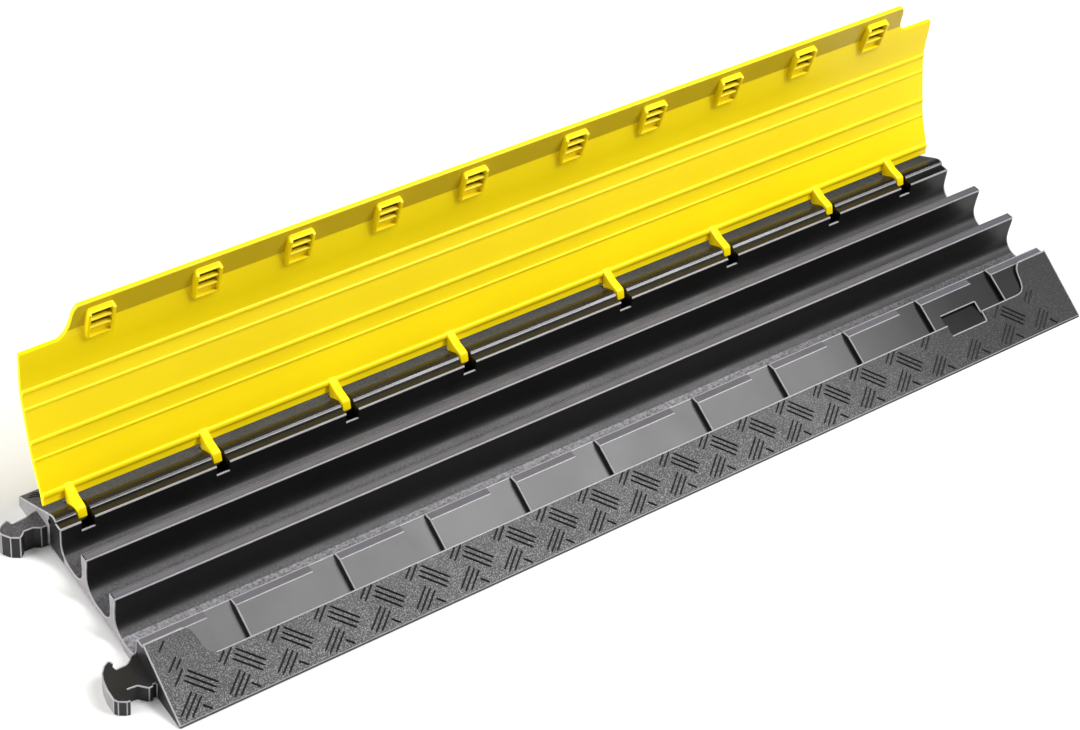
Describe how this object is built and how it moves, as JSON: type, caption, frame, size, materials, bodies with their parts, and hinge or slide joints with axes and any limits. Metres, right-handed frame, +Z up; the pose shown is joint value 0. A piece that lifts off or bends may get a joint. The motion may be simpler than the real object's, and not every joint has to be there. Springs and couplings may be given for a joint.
{
  "type": "floor cord cover",
  "caption": "Low ramped floor cover for cords, with open channels in a rubber base, linking tongues and sockets, and a lid on a long side hinge.",
  "frame": {"origin": "centre of the underside, on the floor, halfway between the socket end and the tips of the tongues", "axes": "+X along the cover from its tongue end to its socket end, +Y across it from the front toe to the hinge side, +Z up"},
  "size_m": [1.0384, 0.282, 0.2219],
  "materials": {
    "base_rubber": "satin moulded rubber with a grained, treaded surface",
    "lid_moulding": "satin yellow moulding",
    "rod_steel": "drawn steel rod"
  },
  "bodies": {
    "base": {"base": "base_rubber", "hinge_rod": "rod_steel"},
    "lid": {"lid": "lid_moulding"}
  },
  "joints": [
    {"name": "lid_hinge", "type": "hinge", "parent": "base", "child": "lid", "pos_m": [0, 0.0818, 0.0328], "axis": [1, 0, 0], "range_deg": [0, 105.3]}
  ]
}
